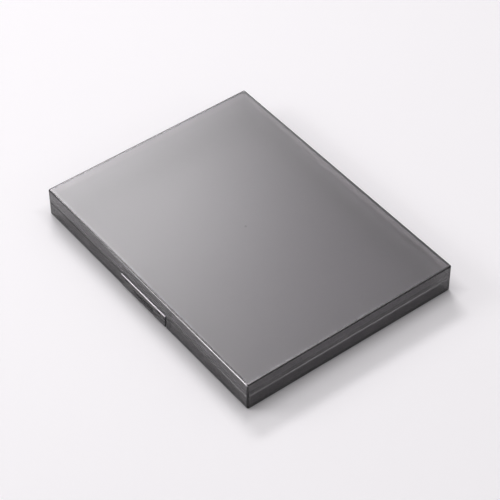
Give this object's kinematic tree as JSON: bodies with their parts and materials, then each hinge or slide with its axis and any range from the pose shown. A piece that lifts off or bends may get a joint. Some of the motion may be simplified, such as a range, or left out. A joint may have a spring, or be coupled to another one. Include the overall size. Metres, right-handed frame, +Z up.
{
  "type": "plastic file box",
  "caption": "Slim translucent box for A4 papers, a shallow tray and a hinged lid that close flush, held by a flip latch in the middle of the front.",
  "frame": {"origin": "centre of the underside, where the closed box rests on the table", "axes": "+X along the long side, +Y towards the hinges, -Y towards the latch, +Z up through the lid"},
  "size_m": [0.318, 0.2447, 0.032],
  "materials": {
    "base_shell": "smoky grey translucent plastic, satin outside and lightly frosted inside",
    "lid_shell": "smoky grey translucent plastic, satin outside and lightly frosted inside",
    "latch_plastic": "smoky grey translucent plastic, satin, with raised grip ribs",
    "pin_steel": "drawn steel wire"
  },
  "bodies": {
    "base": {"base": "base_shell", "hinge_pin_left": "pin_steel", "hinge_pin_right": "pin_steel"},
    "lid": {"lid": "lid_shell", "latch_pin": "pin_steel"},
    "latch": {"latch": "latch_plastic"}
  },
  "joints": [
    {"name": "lid_hinge", "type": "hinge", "parent": "base", "child": "lid", "pos_m": [0, 0.1212, 0.017], "axis": [-1, 0, 0], "range_deg": [0, 180]},
    {"name": "latch_pivot", "type": "hinge", "parent": "lid", "child": "latch", "pos_m": [0, -0.11915, 0.01495], "axis": [-1, 0, 0], "range_deg": [0, 105]}
  ]
}
